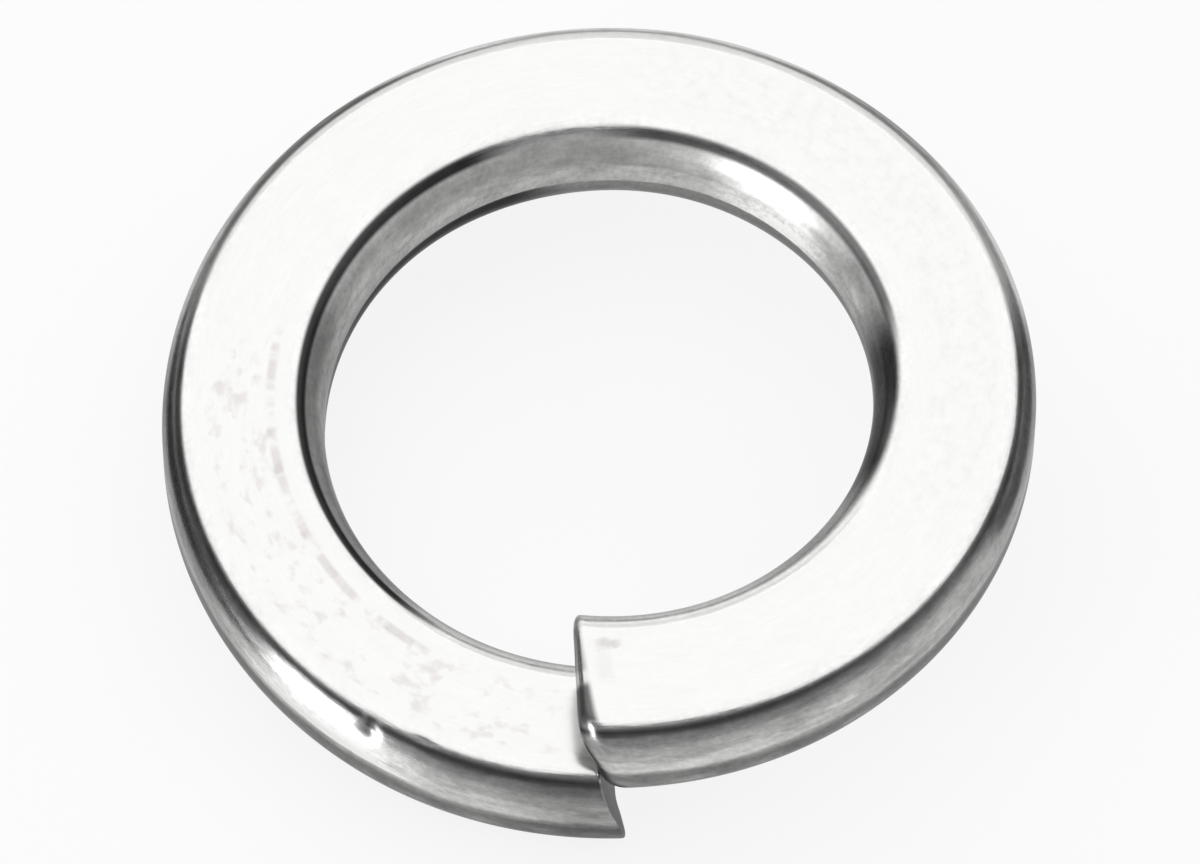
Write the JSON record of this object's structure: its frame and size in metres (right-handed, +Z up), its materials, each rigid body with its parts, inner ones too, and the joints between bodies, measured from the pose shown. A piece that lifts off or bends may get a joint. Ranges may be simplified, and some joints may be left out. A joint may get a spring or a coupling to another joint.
{
  "type": "spring lock washer",
  "caption": "Split ring of round-edged steel bar, wound into one helical turn, whose slanted ends bite under a nut or bolt head and keep the joint in tension.",
  "frame": {"origin": "on the bore axis, level with the lowest point of the low cut end", "axes": "+Z up along the bore axis, -Y towards the split, +X from the split towards the high cut end"},
  "size_m": [0.0262, 0.0262, 0.0069],
  "materials": {
    "spring_steel": "bright, lightly drawn along the bar"
  },
  "bodies": {
    "root": {"washer_body": "spring_steel"}
  },
  "joints": []
}
